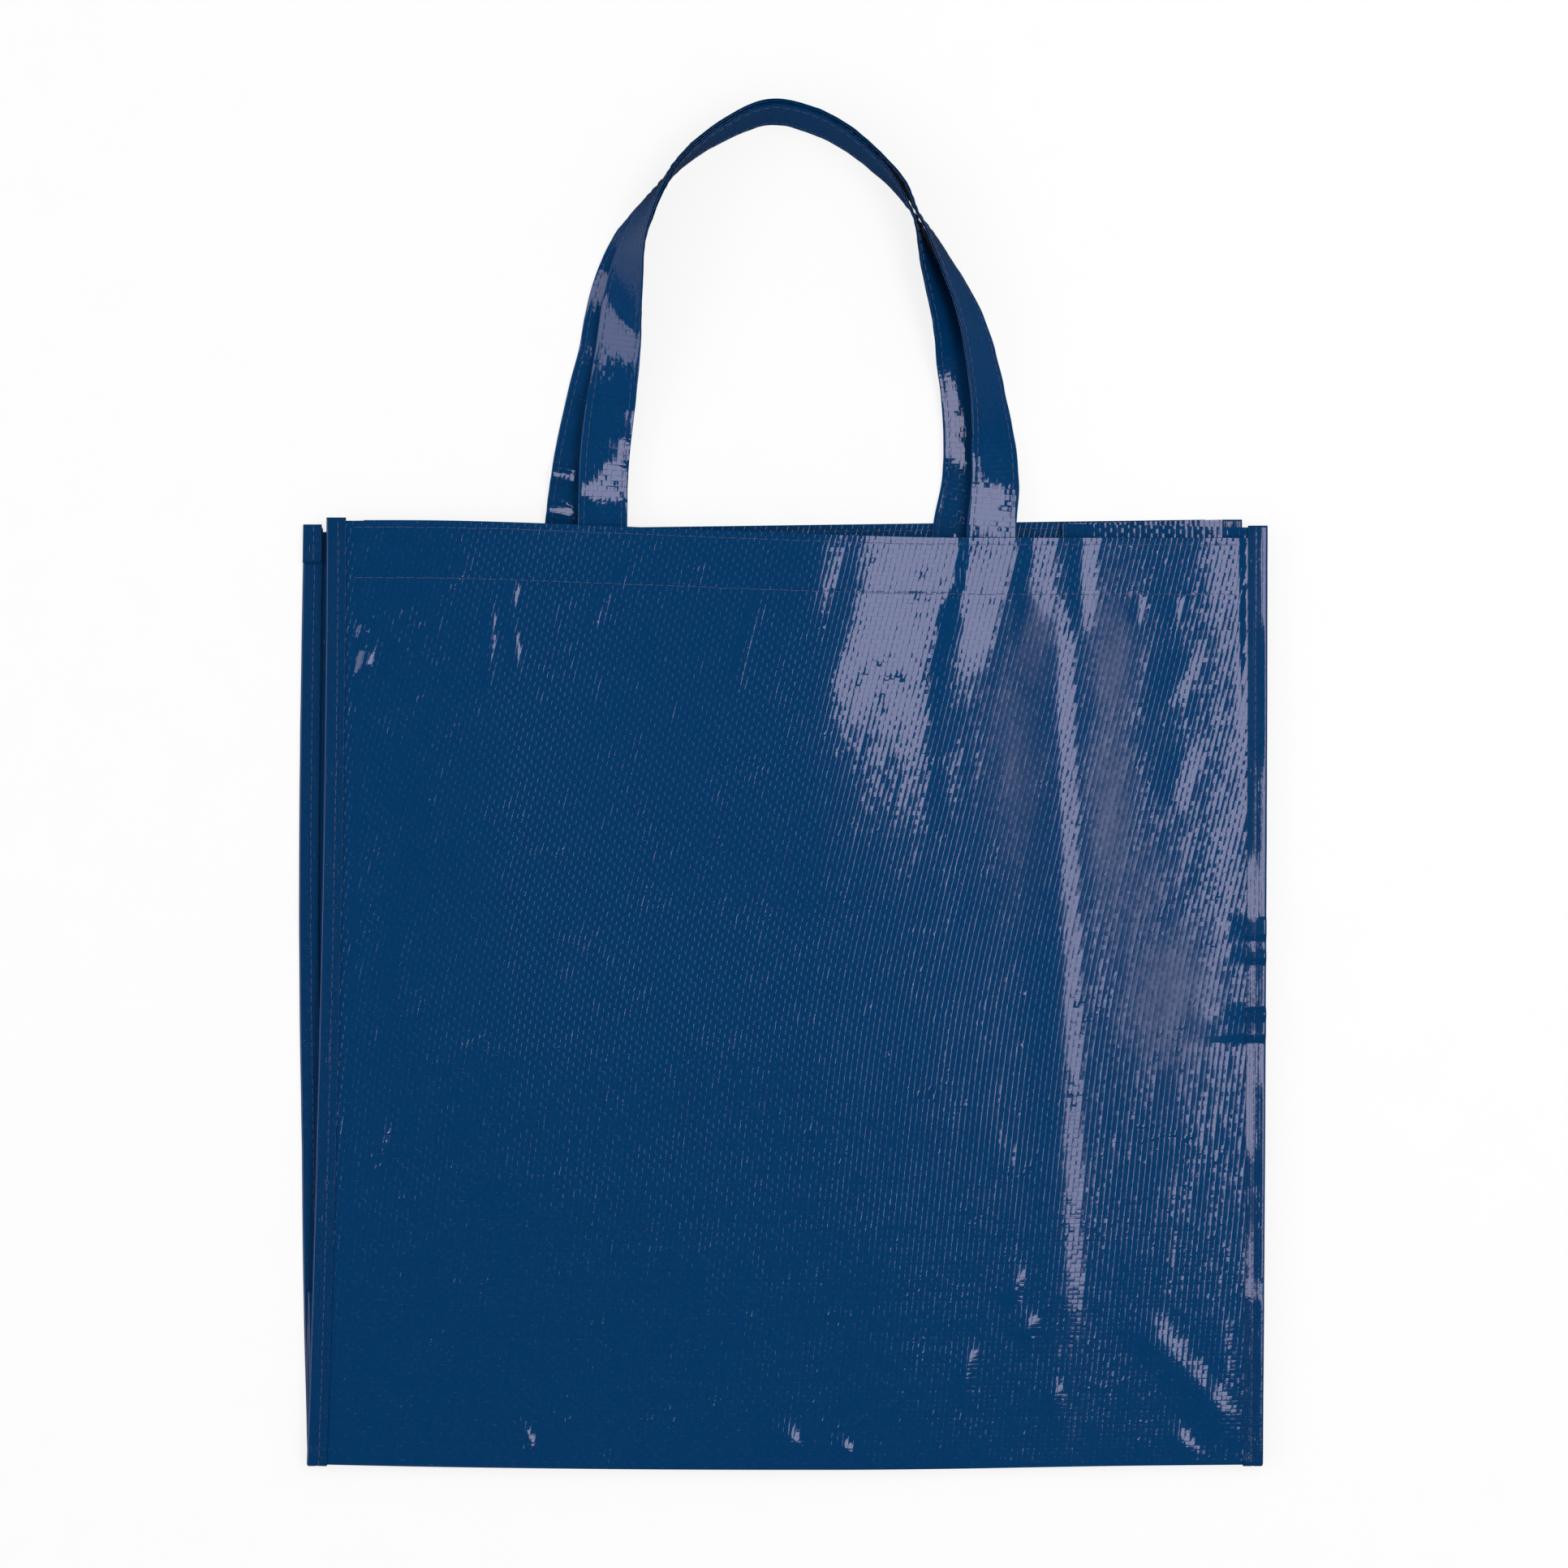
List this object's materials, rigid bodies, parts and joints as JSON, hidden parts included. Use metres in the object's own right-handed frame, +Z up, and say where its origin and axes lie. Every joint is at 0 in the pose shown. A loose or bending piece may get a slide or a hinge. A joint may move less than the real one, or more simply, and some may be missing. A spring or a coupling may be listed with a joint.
{
  "type": "woven polypropylene bag",
  "caption": "Flat-folded reusable carrier bag of glossy laminated woven polypropylene, with gusseted sides, a tucked bottom, bound seams, hemmed mouth and strap handles.",
  "frame": {"origin": "on the surface the bag lies on, under the middle of its bounding box", "axes": "+X across the bag, +Y from its bottom fold to its handles, +Z up from the surface to its front panel"},
  "size_m": [0.4624, 0.6547, 0.0326],
  "materials": {
    "laminated_cloth": "navy film over woven tapes, glossy",
    "binding_tape": "navy folded tape, satin",
    "strap_cloth": "navy laminated cloth folded in four, stitched"
  },
  "bodies": {
    "root": {"body_sheet": "laminated_cloth", "left_gusset": "laminated_cloth", "right_gusset": "laminated_cloth", "left_binding": "binding_tape", "right_binding": "binding_tape", "front_handle": "strap_cloth", "back_handle": "strap_cloth"}
  },
  "joints": []
}
